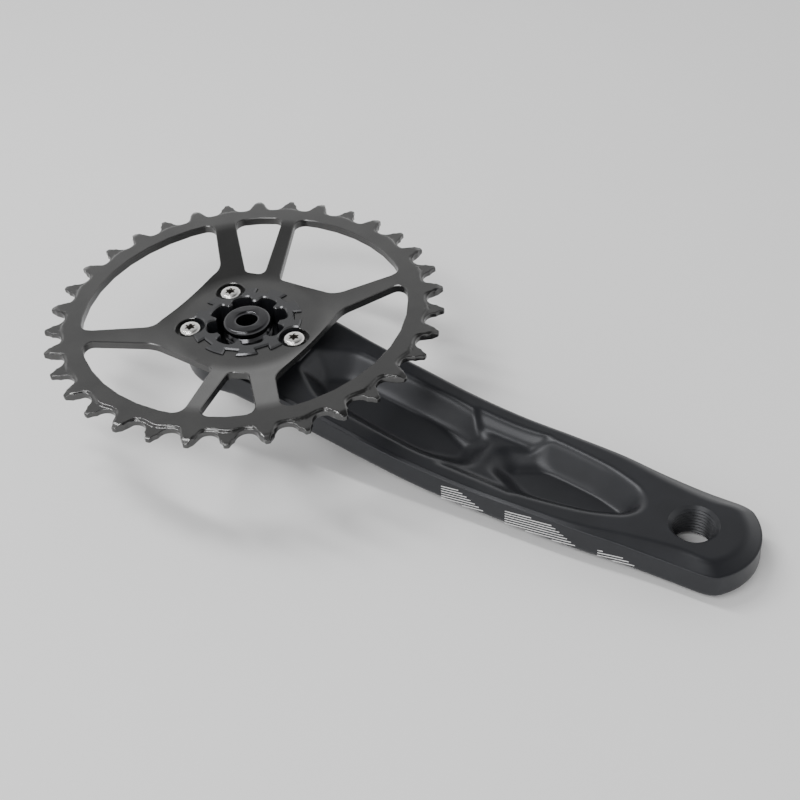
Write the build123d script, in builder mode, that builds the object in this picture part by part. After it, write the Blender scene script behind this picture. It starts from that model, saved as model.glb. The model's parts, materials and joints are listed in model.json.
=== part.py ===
from build123d import *
import math
import os

# Drive-side half of a bicycle crankset, in millimetres.
# The origin is on the spindle axis, at the inboard face of the arm's splined boss.
# +X runs from the spindle axis to the pedal axis and +Z points inboard, towards the frame.

# ---------------------------------------------------------------- fits shared by the pieces
spline_clearance = 0.05        # chainring bore and spline teeth in the arm, per side
thread_clearance = 0.05        # radial gap in the plain stand-ins for cut threads
face_clearance = 0.05          # gap between faces that turn on one another
bolt_float = 0.3               # end play of the captive crank bolt

# ---------------------------------------------------------------- crank arm
arm_length = 170.0             # spindle axis to pedal axis
spigot_radius = 19.8           # boss that centres the chainring
shoulder_width = 3.2           # face round the spigot that the chainring sits on
shoulder_height = -4.0
hub_wall_foot = -13.5          # where the hub wall turns into the outboard cone
hub_face_wall = 1.5            # wall between the extractor cap's thread and the outboard cone
hub_back_wall = 0.35           # how far the hub stands proud of the extractor cap
boss_edge_break = 0.35         # small chamfer on the upper edges of the splined boss

wall_flare = 0.3               # draft of the arm's side walls
back_facet_run = 6.0           # how far the outboard facet reaches in from the wall foot
back_flat_share = 0.45         # half width of the outboard flat over the arm's half width
back_facet_share = 0.8         # part of the outboard crown that the facet takes up

# Sections of the forged beam: share of the arm length, half width, inboard face,
# foot of the side wall, outboard face, edge width, edge drop.
beam_sections = [
    (0.02, 22.2, -4.6, -13.8, -21.8, 0.8, 0.8),
    (0.12, 22.3, -7.0, -16.0, -23.6, 0.8, 0.8),
    (0.235, 21.5, -11.2, -19.8, -26.2, 0.8, 0.8),
    (0.355, 21.4, -15.5, -23.8, -28.8, 0.8, 0.8),
    (0.47, 20.9, -19.1, -27.6, -31.4, 0.8, 0.8),
    (0.59, 20.3, -21.2, -29.4, -33.4, 0.8, 0.8),
    (0.71, 19.8, -21.6, -30.3, -34.4, 1.0, 0.8),
    (0.82, 19.0, -21.9, -31.0, -34.9, 1.6, 0.9),
    (0.90, 17.7, -22.0, -31.6, -35.0, 3.2, 1.6),
    (0.97, 17.1, -22.0, -32.2, -35.0, 4.5, 2.3),
    (1.20, 17.1, -22.0, -32.6, -35.0, 4.5, 2.3),
]

end_radius = 21.0              # rounded pedal end, about the pedal axis
pedal_face = -22.0             # inboard face round the pedal hole
pedal_back = -35.0             # outboard face round the pedal hole
end_wall_foot = -32.4
end_edge_width = 4.5
end_edge_drop = 2.3

# Lightening pockets forged into the inboard face, given by half of their plan outline
# where the pocket walls meet the face
pocket_wall_angle = 42.0       # draft of the pocket walls from vertical
pocket_depth = 7.7
pocket_nose_rounding = 8.0
near_pocket_height = -15.4     # height of the near pocket's rim at its pivot
near_pocket_pivot = arm_length * 0.353
near_pocket_tilt = 11.3        # slope of the arm under the near pocket
near_pocket_half = [
    (arm_length * 0.155, 5.5),
    (arm_length * 0.218, 13.2),
    (arm_length * 0.294, 14.4),
    (arm_length * 0.482, 14.4),
    (arm_length * 0.570, 8.5),
]
far_pocket_half = [
    (arm_length * 0.570, 6.0),
    (arm_length * 0.659, 13.9),
    (arm_length * 0.759, 12.4),
    (arm_length * 0.829, 10.0),
    (arm_length * 0.882, 6.2),
    (arm_length * 0.900, 2.0),
]
saddle_start = arm_length * 0.506
saddle_end = arm_length * 0.665
saddle_half_width = 14.2
saddle_height = -21.1          # height of the face halfway along the saddle
saddle_tilt = 3.5
saddle_depth = 3.9             # how far the rib between the pockets lies below the face
pocket_lift = 2.0              # the cuts start this far above the face

# Spindle socket with eight lobes
lobe_count = 8
lobe_radius = 14.5
land_radius = 11.5
lobe_width = 7.2
lobe_rounding = 1.8
land_rounding = 0.7
socket_depth = 12.0
web_thickness = 2.0            # wall between the socket and the bolt's seat

# Pedal eye, 9/16 inch by 20 threads to the inch, drawn plain at the thread's full size
pedal_thread_radius = 7.145
pedal_countersink_radius = 8.1
pedal_recess_radius = 11.0
pedal_recess_depth = 2.0

# ---------------------------------------------------------------- chainring
tooth_count = 34
chain_pitch = 12.7
plate_thickness = 3.2
rim_height = 4.0               # mid-plane of the teeth
hub_flat_margin = 3.6          # flat of the ring outside the arm's shoulder
rim_crease_drop = 13.92        # crease at the rim, inside the pitch circle
crease_rounding = 3.0
first_tooth_angle = 121.66     # a wide tooth; wide and narrow teeth alternate
tip_rise = 2.38                # tooth tips above the pitch circle
seat_radius = 3.95             # radius of the roller seats
gap_mouth_half_width = 6.3
gap_mouth_rise = 3.7
narrow_thickness = 2.0         # teeth that fit between inner chain plates
rim_step_drop = 5.4            # edge of the full thickness, inside the pitch circle
tip_land_half = 0.7            # half thickness left at the tooth tips
tip_bevel_depth = 2.0
wide_base_half = 7.0           # foot of a wide tooth's thick flank
wide_waist_drop = 3.3          # where the flare ends, inside the pitch circle
wide_waist_half = 2.6
wide_tip_half = 1.05

window_outer_drop = 10.6       # outer edge of the windows, inside the pitch circle
window_rim_rounding = 3.8

# Window corners at the hub side as (distance outside the hub crease, angle, rounding) and
# the two angles at which the window's sides meet its outer edge. Each window has a twin
# half a turn away.
windows = [
    ((7.2, 232.0, 10.0), (0.6, 280.2, 3.0), 227.1, 286.1),
    ((2.0, 293.3, 2.6), (3.7, 307.4, 2.6), 291.1, 310.3),
    ((8.4, 142.5, 8.0), (7.4, 215.2, 8.0), 138.1, 221.0),
]

spline_tooth_width = 4.6
spline_tooth_reach = 2.8       # how far the spline teeth reach into the spigot
spline_tooth_angles = (36, 72, 108, 180, 252, 288, 324)

# ---------------------------------------------------------------- chainring bolts, M5
ring_bolt_angles = (0, 144, 216)
ring_bolt_offset = 0.7         # bolt circle outside the spigot, so each bolt bites both pieces
ring_bolt_radius = 2.5
ring_bolt_head_width = 1.55    # head outside the shank
ring_bolt_head_height = 2.3
ring_bolt_head_rounding = 1.5
ring_bolt_depth = 10.0         # thread below the head
ring_bolt_tool_gap = 1.25      # recess outside the head
ring_bolt_recess_depth = 2.0
ring_bolt_boss_wall = 0.3
ring_bolt_socket_radius = 2.25
ring_bolt_socket_lobe = 0.7
ring_bolt_socket_depth = 1.6

# ---------------------------------------------------------------- crank bolt and its captive parts
crank_bolt_radius = 9.0        # M18
crank_bolt_nose = 0.5          # height of the bolt's nose
crank_bolt_nose_step = 0.3     # nose inside the thread's outer radius
crank_bolt_nose_rounding = 1.4
crank_bolt_groove_depth = 1.3
crank_bolt_groove_start = -1.6
crank_bolt_groove_end = -3.0
crank_bolt_neck_step = 0.2     # plain neck inside the thread's outer radius
crank_bolt_thread_end = -11.5
crank_bolt_bore = 3.6
crank_bolt_bore_lead = 1.1
crank_bolt_hex = 8.0           # across flats
crank_bolt_hex_depth = 8.0
flange_width = 4.0             # flange outside the thread's outer radius
flange_thickness = 2.4
washer_thickness = 0.6
cap_washer_thickness = 0.6
cap_washer_clearance = 0.8     # bore of the cap washer outside the thread's outer radius
cap_ledge = 2.0                # thread of the cap outside the flange, which makes it M30
cap_thickness = 3.6
cap_hex = 16.0                 # across flats
cap_bevel = 0.5

# ---------------------------------------------------------------- places worked out from the above
pitch_radius = chain_pitch / (2 * math.sin(math.pi / tooth_count))
tip_radius = pitch_radius + tip_rise
window_outer_radius = pitch_radius - window_outer_drop
rim_crease_radius = pitch_radius - rim_crease_drop
hub_radius = spigot_radius + shoulder_width
hub_crease_radius = hub_radius + hub_flat_margin
spline_tooth_tip = spigot_radius - spline_tooth_reach
ring_hub_face = shoulder_height + plate_thickness
ring_floor = rim_height - plate_thickness / 2
ring_top = rim_height + plate_thickness / 2
recess_floor = ring_hub_face - ring_bolt_recess_depth
ring_bolt_circle = spigot_radius + ring_bolt_offset
ring_bolt_head_radius = ring_bolt_radius + ring_bolt_head_width
ring_bolt_recess_radius = ring_bolt_head_radius + ring_bolt_tool_gap
ring_bolt_boss_radius = ring_bolt_recess_radius + ring_bolt_boss_wall

pocket_lift_run = pocket_lift * math.tan(math.radians(pocket_wall_angle))

crank_bolt_nose_radius = crank_bolt_radius - crank_bolt_nose_step
crank_bolt_groove_radius = crank_bolt_radius - crank_bolt_groove_depth
crank_bolt_neck_radius = crank_bolt_radius - crank_bolt_neck_step
web_hole_radius = crank_bolt_radius + bolt_float
flange_radius = crank_bolt_radius + flange_width
cap_washer_bore = crank_bolt_radius + cap_washer_clearance
cap_radius = flange_radius + cap_ledge
hub_face_radius = cap_radius + hub_face_wall
web_face = -socket_depth - web_thickness
washer_top = web_face - face_clearance
washer_foot = washer_top - washer_thickness
flange_top = washer_foot - face_clearance
flange_foot = flange_top - flange_thickness
cap_washer_top = flange_foot - bolt_float - face_clearance
cap_top = cap_washer_top - cap_washer_thickness
cap_foot = cap_top - cap_thickness
hub_back = cap_foot - hub_back_wall


def polar(radius, angle):
    """Point at a radius and an angle in degrees."""
    return (radius * math.cos(math.radians(angle)), radius * math.sin(math.radians(angle)))


def section_plane(x):
    """Plane across the arm, with its own X along +Y and its own Y along +Z."""
    return Plane(origin=(x, 0, 0), x_dir=(0, 1, 0), z_dir=(1, 0, 0))


def sloped_plane(x, height, tilt):
    """Plane through (x, 0, height) that falls towards the pedal by the tilt in degrees."""
    slope = math.radians(tilt)
    return Plane(
        origin=(x, 0, height),
        x_dir=(math.cos(slope), 0, -math.sin(slope)),
        z_dir=(math.sin(slope), 0, math.cos(slope)),
    )


def mirrored(half):
    """Closed outline from the points on one side of the X axis."""
    return half + [(x, -y) for x, y in reversed(half)]


def beam_outline(half_width, face, foot, back, edge_width, edge_drop):
    """Points round one section of the arm, from the inboard face down one wall and back."""
    facet_foot = foot + (back - foot) * back_facet_share
    half = [
        (half_width - edge_width, face),
        (half_width, face - edge_drop),
        (half_width + wall_flare, foot),
        (half_width - back_facet_run, facet_foot),
        (half_width * back_flat_share, back),
    ]
    return half + [(-y, z) for y, z in reversed(half)]


# ================================================================ crank arm
with BuildPart() as crank_arm:
    for share, half_width, face, foot, back, edge_width, edge_drop in beam_sections:
        with BuildSketch(section_plane(arm_length * share)):
            Polygon(*beam_outline(half_width, face, foot, back, edge_width, edge_drop), align=None)
    loft()

    # Rounded pedal end
    with BuildSketch(Plane.XY.offset(pedal_back - 5)):
        with Locations((arm_length + end_radius, 0)):
            Rectangle(2 * end_radius, 4 * end_radius)
        with Locations((arm_length, 0)):
            Circle(end_radius, mode=Mode.SUBTRACT)
    extrude(amount=pedal_face - pedal_back + 10, mode=Mode.SUBTRACT)

    # Soft edge round the outer half of the pedal end, inboard and outboard
    pedal_axis = Axis((arm_length, 0, 0), (0, 0, 1))
    with BuildSketch(Plane(origin=(arm_length, 0, 0), x_dir=(0, -1, 0), z_dir=(-1, 0, 0))):
        with BuildLine():
            Polyline(
                (end_radius - end_edge_width, pedal_face),
                (end_radius - end_edge_width, pedal_face + 1),
                (end_radius + 1, pedal_face + 1),
                (end_radius + 1, pedal_face - end_edge_drop),
                (end_radius, pedal_face - end_edge_drop),
                close=True,
            )
        make_face()
        with BuildLine():
            Polyline(
                (end_radius, end_wall_foot),
                (end_radius + 1, end_wall_foot),
                (end_radius + 1, pedal_back - 1),
                (end_radius - back_facet_run / 2, pedal_back - 1),
                (end_radius - back_facet_run / 2, pedal_back),
                close=True,
            )
        make_face()
    revolve(axis=pedal_axis, revolution_arc=180, mode=Mode.SUBTRACT)

    # Near pocket, which follows the slope of the arm
    near_plane = sloped_plane(near_pocket_pivot, near_pocket_height, near_pocket_tilt)
    near_stretch = 1 / math.cos(math.radians(near_pocket_tilt))
    with BuildSketch(near_plane.offset(pocket_lift)) as near_pocket:
        near_outline = [((x - near_pocket_pivot) * near_stretch, y) for x, y in near_pocket_half]
        Polygon(*mirrored(near_outline), align=None)
        fillet(near_pocket.vertices().sort_by(Axis.X)[-2:], pocket_nose_rounding)
        offset(amount=pocket_lift_run, kind=Kind.INTERSECTION)
    extrude(amount=-pocket_depth - pocket_lift, taper=pocket_wall_angle, mode=Mode.SUBTRACT)

    # Far pocket, in the level part of the arm
    with BuildSketch(Plane.XY.offset(pedal_face + pocket_lift)) as far_pocket:
        Polygon(*mirrored(far_pocket_half), align=None)
        fillet(far_pocket.vertices().sort_by(Axis.X)[:2], pocket_nose_rounding)
        offset(amount=pocket_lift_run, kind=Kind.INTERSECTION)
    extrude(amount=-pocket_depth - pocket_lift, taper=pocket_wall_angle, mode=Mode.SUBTRACT)

    # Saddle that lowers the rib between the pockets
    saddle_plane = sloped_plane((saddle_start + saddle_end) / 2, saddle_height, saddle_tilt)
    with BuildSketch(saddle_plane.offset(pocket_lift)):
        Rectangle(
            saddle_end - saddle_start + 2 * pocket_lift_run,
            2 * saddle_half_width + 2 * pocket_lift_run,
        )
    extrude(amount=-saddle_depth - pocket_lift, taper=pocket_wall_angle, mode=Mode.SUBTRACT)

    # Hub with the spigot for the chainring
    with BuildSketch(Plane.XZ):
        with BuildLine():
            Polyline(
                (0, 0),
                (spigot_radius, 0),
                (spigot_radius, shoulder_height),
                (hub_radius, shoulder_height),
                (hub_radius, hub_wall_foot),
                (hub_face_radius, hub_back),
                (0, hub_back),
                close=True,
            )
        make_face()
    revolve(axis=Axis.Z)

    # Bosses for the chainring bolts
    with BuildSketch(Plane.XY.offset(shoulder_height)):
        with Locations(*[polar(ring_bolt_circle, angle) for angle in ring_bolt_angles]):
            Circle(ring_bolt_boss_radius)
    extrude(amount=-ring_bolt_depth)

    # Spindle socket: a round bore with eight lobes, and the web behind it
    with BuildSketch() as socket:
        Circle(land_radius)
        with PolarLocations(0, lobe_count):
            with Locations((lobe_radius / 2, 0)):
                Rectangle(lobe_radius, lobe_width)
        Circle(lobe_radius, mode=Mode.INTERSECT)
        corner_radius = (lobe_radius + land_radius) / 2
        fillet(socket.vertices().filter_by(lambda corner: corner.Z == 0 and
               math.hypot(corner.X, corner.Y) > corner_radius), lobe_rounding)
        fillet(socket.vertices().filter_by(lambda corner: corner.Z == 0 and
               math.hypot(corner.X, corner.Y) < land_radius + 0.1), land_rounding)
    extrude(amount=-socket_depth, mode=Mode.SUBTRACT)
    with BuildSketch(Plane.XY.offset(hub_back)):
        Circle(web_hole_radius)
    extrude(amount=socket_depth - hub_back, mode=Mode.SUBTRACT)
    with BuildSketch(Plane.XY.offset(web_face)):
        Circle(flange_radius + bolt_float)
    extrude(amount=cap_top - web_face, mode=Mode.SUBTRACT)
    with BuildSketch(Plane.XY.offset(cap_top)):
        Circle(cap_radius + thread_clearance)
    extrude(amount=hub_back - cap_top, mode=Mode.SUBTRACT)

    # Notches in the spigot for the chainring's spline teeth
    with BuildSketch() as notches:
        for angle in spline_tooth_angles:
            with Locations(Plane.XY.rotated((0, 0, angle))):
                with Locations(((spline_tooth_tip + hub_radius) / 2 - spline_clearance, 0)):
                    Rectangle(hub_radius - spline_tooth_tip, spline_tooth_width + 2 * spline_clearance)
    extrude(amount=shoulder_height, mode=Mode.SUBTRACT)

    # Broken upper edges of the boss, its socket and its notches
    boss_rims = crank_arm.edges().filter_by_position(Axis.Z, -0.001, 0.001)
    chamfer(boss_rims, boss_edge_break)

    # Recesses and threads for the chainring bolts
    with BuildSketch(Plane.XY.offset(recess_floor)):
        with Locations(*[polar(ring_bolt_circle, angle) for angle in ring_bolt_angles]):
            Circle(ring_bolt_recess_radius)
    extrude(amount=-recess_floor + 1, mode=Mode.SUBTRACT)
    with BuildSketch(Plane.XY.offset(recess_floor)):
        with Locations(*[polar(ring_bolt_circle, angle) for angle in ring_bolt_angles]):
            Circle(ring_bolt_radius + thread_clearance)
    extrude(amount=-ring_bolt_depth - 0.5, mode=Mode.SUBTRACT)

    # Pedal eye with its countersink and the recess for the pedal's shoulder
    with BuildSketch(Plane.XY.offset(pedal_back - 1)):
        with Locations((arm_length, 0)):
            Circle(pedal_thread_radius)
    extrude(amount=pedal_face - pedal_back + 2, mode=Mode.SUBTRACT)
    with BuildSketch(Plane.XY.offset(pedal_back + pedal_recess_depth)):
        with Locations((arm_length, 0)):
            Circle(pedal_recess_radius)
    extrude(amount=-pedal_recess_depth - 1, mode=Mode.SUBTRACT)
    pedal_rim = crank_arm.edges().filter_by(GeomType.CIRCLE)
    pedal_rim = pedal_rim.filter_by(lambda edge: abs(edge.radius - pedal_thread_radius) < 0.001)
    chamfer(pedal_rim.sort_by(Axis.Z)[-1:], pedal_countersink_radius - pedal_thread_radius)

crank_arm.part.label = "crank_arm"

# ================================================================ chainring
with BuildPart() as chainring:
    # Dished plate: flat hub, cone, flat rim
    with BuildSketch(Plane.XZ) as dish:
        with BuildLine():
            Polyline(
                (spigot_radius + spline_clearance, shoulder_height),
                (hub_crease_radius, shoulder_height),
                (rim_crease_radius, ring_floor),
                (pitch_radius - rim_step_drop, ring_floor),
                (pitch_radius - rim_step_drop, ring_top),
                (rim_crease_radius, ring_top),
                (hub_crease_radius, ring_hub_face),
                (spigot_radius + spline_clearance, ring_hub_face),
                close=True,
            )
        make_face()
        creases = [
            (hub_crease_radius, shoulder_height),
            (hub_crease_radius, ring_hub_face),
            (rim_crease_radius, ring_floor),
            (rim_crease_radius, ring_top),
        ]
        fillet([dish.vertices().sort_by_distance(point)[0] for point in creases], crease_rounding)
    revolve(axis=Axis.Z)

    # Thin layer with every tooth
    with BuildSketch(Plane.XY.offset(rim_height - narrow_thickness / 2)):
        Circle(tip_radius)
        Circle(pitch_radius - rim_step_drop - 2, mode=Mode.SUBTRACT)
    extrude(amount=narrow_thickness)

    # Thicker flanks of every second tooth
    with BuildSketch(Plane.XY.offset(ring_floor)):
        for index in range(0, tooth_count, 2):
            with Locations(Plane.XY.rotated((0, 0, first_tooth_angle - index * 360 / tooth_count))):
                with BuildLine():
                    Polyline(
                        (pitch_radius - rim_step_drop - 2, -wide_base_half),
                        (pitch_radius - wide_waist_drop, -wide_waist_half),
                        (tip_radius, -wide_tip_half),
                        (tip_radius, wide_tip_half),
                        (pitch_radius - wide_waist_drop, wide_waist_half),
                        (pitch_radius - rim_step_drop - 2, wide_base_half),
                        close=True,
                    )
                make_face()
    extrude(amount=plate_thickness)

    # Gaps between the teeth: a roller seat that opens outwards
    with BuildSketch(Plane.XY.offset(ring_floor - 1)) as gaps:
        with PolarLocations(0, tooth_count, start_angle=first_tooth_angle + 180 / tooth_count):
            with Locations((pitch_radius, 0)):
                Circle(seat_radius)
                Polygon(
                    (0, -seat_radius),
                    (gap_mouth_rise, -gap_mouth_half_width),
                    (gap_mouth_rise, gap_mouth_half_width),
                    (0, seat_radius),
                    align=None,
                )
    extrude(amount=plate_thickness + 2, mode=Mode.SUBTRACT)

    # Bevels at the tooth tips
    with BuildSketch(Plane.XZ):
        for side in (-1, 1):
            with BuildLine():
                Polyline(
                    (tip_radius - tip_bevel_depth, rim_height + side * plate_thickness / 2),
                    (tip_radius + 1, rim_height + side * plate_thickness / 2),
                    (tip_radius + 1, rim_height + side * tip_land_half),
                    (tip_radius, rim_height + side * tip_land_half),
                    close=True,
                )
            make_face()
    revolve(axis=Axis.Z, mode=Mode.SUBTRACT)

    # Windows between the spokes
    for inner_a, inner_b, outer_angle_a, outer_angle_b in windows:
        for turn in (0, 180):
            radius_a = hub_crease_radius + inner_a[0]
            radius_b = hub_crease_radius + inner_b[0]
            corner_a = polar(radius_a, inner_a[1] + turn)
            corner_b = polar(radius_b, inner_b[1] + turn)
            outer_a = polar(window_outer_radius, outer_angle_a + turn)
            outer_b = polar(window_outer_radius, outer_angle_b + turn)
            beyond_a = Vector(*outer_a) * 2 - Vector(*corner_a)
            beyond_b = Vector(*outer_b) * 2 - Vector(*corner_b)
            with BuildSketch(Plane.XY.offset(shoulder_height - 1)) as window:
                Polygon(corner_a, beyond_a, beyond_b, corner_b, align=None)
                Circle(window_outer_radius, mode=Mode.INTERSECT)
                rounding_a = min(inner_a[2], (window_outer_radius - radius_a) / 2)
                rounding_b = min(inner_b[2], (window_outer_radius - radius_b) / 2)
                fillet(window.vertices().sort_by_distance(corner_a)[0], rounding_a)
                fillet(window.vertices().sort_by_distance(corner_b)[0], rounding_b)
                fillet(window.vertices().sort_by_distance(outer_a)[0], window_rim_rounding)
                fillet(window.vertices().sort_by_distance(outer_b)[0], window_rim_rounding)
            extrude(amount=ring_top - shoulder_height + 2, mode=Mode.SUBTRACT)

    # Spline teeth that reach into the arm's spigot
    with BuildSketch(Plane.XY.offset(shoulder_height)):
        for angle in spline_tooth_angles:
            with Locations(Plane.XY.rotated((0, 0, angle))):
                with Locations(((spline_tooth_tip + hub_radius) / 2, 0)):
                    Rectangle(hub_radius - spline_tooth_tip, spline_tooth_width)
    extrude(amount=plate_thickness)

    # Half recesses and half holes for the chainring bolts
    with BuildSketch(Plane.XY.offset(recess_floor)):
        with Locations(*[polar(ring_bolt_circle, angle) for angle in ring_bolt_angles]):
            Circle(ring_bolt_recess_radius)
    extrude(amount=plate_thickness, mode=Mode.SUBTRACT)
    with BuildSketch(Plane.XY.offset(shoulder_height - 1)):
        with Locations(*[polar(ring_bolt_circle, angle) for angle in ring_bolt_angles]):
            Circle(ring_bolt_radius + 2 * thread_clearance)
    extrude(amount=plate_thickness + 2, mode=Mode.SUBTRACT)

chainring.part.label = "chainring"

# ================================================================ chainring bolts
ring_bolts = []
for number, angle in enumerate(ring_bolt_angles, start=1):
    place = polar(ring_bolt_circle, angle)
    with BuildPart() as ring_bolt:
        with BuildSketch(Plane.XY.offset(recess_floor)):
            with Locations(place):
                Circle(ring_bolt_head_radius)
        extrude(amount=ring_bolt_head_height)
        head_rim = ring_bolt.edges().filter_by(GeomType.CIRCLE).sort_by(Axis.Z)[-1:]
        fillet(head_rim, ring_bolt_head_rounding)
        with BuildSketch(Plane.XY.offset(recess_floor)):
            with Locations(place):
                Circle(ring_bolt_radius)
        extrude(amount=-ring_bolt_depth)
        shank_rim = ring_bolt.edges().filter_by(GeomType.CIRCLE).sort_by(Axis.Z)[:1]
        chamfer(shank_rim, ring_bolt_radius / 4)
        with BuildSketch(Plane.XY.offset(recess_floor + ring_bolt_head_height)):
            with Locations(place):
                Circle(ring_bolt_socket_radius - ring_bolt_socket_lobe / 2)
                with PolarLocations(ring_bolt_socket_radius - ring_bolt_socket_lobe, 6):
                    Circle(ring_bolt_socket_lobe)
        extrude(amount=-ring_bolt_socket_depth, mode=Mode.SUBTRACT)
    ring_bolt.part.label = f"chainring_bolt_{number}"
    ring_bolts.append(ring_bolt)

# ================================================================ crank bolt
with BuildPart() as crank_bolt:
    with BuildSketch(Plane.XZ):
        with BuildLine():
            Polyline(
                (0, crank_bolt_nose),
                (crank_bolt_nose_radius, crank_bolt_nose),
                (crank_bolt_nose_radius, crank_bolt_groove_start),
                (crank_bolt_groove_radius, crank_bolt_groove_end + 1),
                (crank_bolt_groove_radius, crank_bolt_groove_end),
                (crank_bolt_radius, crank_bolt_groove_end - 1.2),
                (crank_bolt_radius, crank_bolt_thread_end),
                (crank_bolt_neck_radius, crank_bolt_thread_end),
                (crank_bolt_neck_radius, flange_top),
                (flange_radius, flange_top),
                (flange_radius, flange_foot),
                (0, flange_foot),
                close=True,
            )
        make_face()
    revolve(axis=Axis.Z)
    nose_rim = crank_bolt.edges().filter_by(GeomType.CIRCLE).sort_by(Axis.Z)[-1:]
    fillet(nose_rim, crank_bolt_nose_rounding)

    with BuildSketch(Plane.XY.offset(flange_foot)):
        Circle(crank_bolt_bore)
    extrude(amount=crank_bolt_nose - flange_foot, mode=Mode.SUBTRACT)
    bore_rim = crank_bolt.edges().filter_by(GeomType.CIRCLE)
    bore_rim = bore_rim.filter_by(lambda edge: abs(edge.radius - crank_bolt_bore) < 0.001)
    chamfer(bore_rim.sort_by(Axis.Z)[-1:], crank_bolt_bore_lead)

    with BuildSketch(Plane.XY.offset(flange_foot)):
        RegularPolygon(crank_bolt_hex / 2, 6, major_radius=False)
    extrude(amount=crank_bolt_hex_depth, mode=Mode.SUBTRACT)

crank_bolt.part.label = "crank_bolt"

# ================================================================ washers and extractor cap
with BuildPart() as thrust_washer:
    with BuildSketch(Plane.XY.offset(washer_foot)):
        Circle(flange_radius)
        Circle(web_hole_radius, mode=Mode.SUBTRACT)
    extrude(amount=washer_thickness)

thrust_washer.part.label = "thrust_washer"

with BuildPart() as cap_washer:
    with BuildSketch(Plane.XY.offset(cap_top)):
        Circle(flange_radius)
        Circle(cap_washer_bore, mode=Mode.SUBTRACT)
    extrude(amount=cap_washer_thickness)

cap_washer.part.label = "cap_washer"

with BuildPart() as extractor_cap:
    with BuildSketch(Plane.XY.offset(cap_foot)):
        Circle(cap_radius)
        RegularPolygon(cap_hex / 2, 6, major_radius=False, mode=Mode.SUBTRACT)
    extrude(amount=cap_thickness)
    outer_rims = extractor_cap.edges().filter_by(GeomType.CIRCLE)
    chamfer(outer_rims, cap_bevel)

extractor_cap.part.label = "extractor_cap"

# ================================================================ write the parts
os.makedirs("parts", exist_ok=True)
pieces = [crank_arm, chainring, *ring_bolts, crank_bolt, thrust_washer, cap_washer, extractor_cap]
for piece in pieces:
    export_step(piece.part, f"parts/{piece.part.label}.step")
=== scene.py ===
import json
import math

import bmesh
import bpy
import numpy as np
from mathutils import Matrix, Vector


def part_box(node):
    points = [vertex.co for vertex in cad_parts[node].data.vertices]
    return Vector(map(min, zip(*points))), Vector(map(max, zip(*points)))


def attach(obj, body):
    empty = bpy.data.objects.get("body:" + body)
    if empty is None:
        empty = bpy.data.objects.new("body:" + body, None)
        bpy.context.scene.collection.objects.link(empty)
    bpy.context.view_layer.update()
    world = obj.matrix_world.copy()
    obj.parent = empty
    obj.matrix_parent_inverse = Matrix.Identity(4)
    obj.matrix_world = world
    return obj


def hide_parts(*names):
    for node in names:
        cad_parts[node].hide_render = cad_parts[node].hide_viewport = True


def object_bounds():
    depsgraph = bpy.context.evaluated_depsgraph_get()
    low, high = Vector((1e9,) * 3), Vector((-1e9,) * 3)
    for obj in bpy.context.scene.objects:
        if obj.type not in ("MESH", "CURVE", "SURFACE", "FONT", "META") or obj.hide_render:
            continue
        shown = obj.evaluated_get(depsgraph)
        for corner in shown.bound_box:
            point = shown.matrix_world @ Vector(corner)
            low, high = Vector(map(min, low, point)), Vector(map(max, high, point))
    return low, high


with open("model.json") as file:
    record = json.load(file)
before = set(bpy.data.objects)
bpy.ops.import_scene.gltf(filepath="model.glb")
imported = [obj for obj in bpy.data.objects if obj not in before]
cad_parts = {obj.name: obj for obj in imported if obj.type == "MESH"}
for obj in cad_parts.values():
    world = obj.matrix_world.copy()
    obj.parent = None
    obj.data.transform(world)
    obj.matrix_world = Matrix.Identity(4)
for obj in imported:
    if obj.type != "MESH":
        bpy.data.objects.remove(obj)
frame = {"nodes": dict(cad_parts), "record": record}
cad_low, cad_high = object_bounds()

# ---------------------------------------------------------------- sizes, in millimetres
MM = 0.001
mounts = {mount["name"]: mount for mount in frame["record"]["mounts"]}
ARM_LENGTH = mounts["pedal_thread"]["pos_m"][0] / MM

# Sections of the forged arm: place along X, half width, inboard face, wall foot,
# outboard face, edge width, edge drop
SECTIONS = np.array([
    (3.4, 22.2, -4.6, -13.8, -21.8, 0.8, 0.8),
    (20.4, 22.3, -7.0, -16.0, -23.6, 0.8, 0.8),
    (40.0, 21.5, -11.2, -19.8, -26.2, 0.8, 0.8),
    (60.4, 21.4, -15.5, -23.8, -28.8, 0.8, 0.8),
    (79.9, 20.9, -19.1, -27.6, -31.4, 0.8, 0.8),
    (100.3, 20.3, -21.2, -29.4, -33.4, 0.8, 0.8),
    (120.7, 19.8, -21.6, -30.3, -34.4, 1.0, 0.8),
    (139.4, 19.0, -21.9, -31.0, -34.9, 1.6, 0.9),
    (153.0, 17.7, -22.0, -31.6, -35.0, 3.2, 1.6),
    (164.9, 17.1, -22.0, -32.2, -35.0, 4.5, 2.3),
    (204.0, 17.1, -22.0, -32.6, -35.0, 4.5, 2.3),
])
# Columns of the table above
HALF_WIDTH_COLUMN = 1
FACE_COLUMN = 2
FOOT_COLUMN = 3
BACK_COLUMN = 4
EDGE_WIDTH_COLUMN = 5
EDGE_DROP_COLUMN = 6

END_RADIUS = 21.0
WALL_FLARE = 0.3
BACK_FACET_RUN = 6.0
BACK_FACET_SHARE = 0.8
BACK_FLAT_SHARE = 0.45
TOP_ROUNDING = 0.4
FOOT_ROUNDING = 1.6
FOOT_RISE = 0.6                # the wall ends this share of the foot's rounding above the foot
SHOULDER_SLOPE = 3.0           # fall of the hub's shoulder outside its radius
TAIL_SLOPE = 2.0               # rise of the beam's back behind the spindle axis

# Widths over which neighbouring faces of the arm blend
EDGE_BLEND = 0.7
SHOULDER_BLEND = 0.6
BACK_BLEND = 0.5
FACET_BLEND = 1.4
CONE_BLEND = 1.2
HUB_BEAM_BLEND = 2.5
HUB_SIDE_BLEND = 0.4
END_BLEND = 2.5

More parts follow.
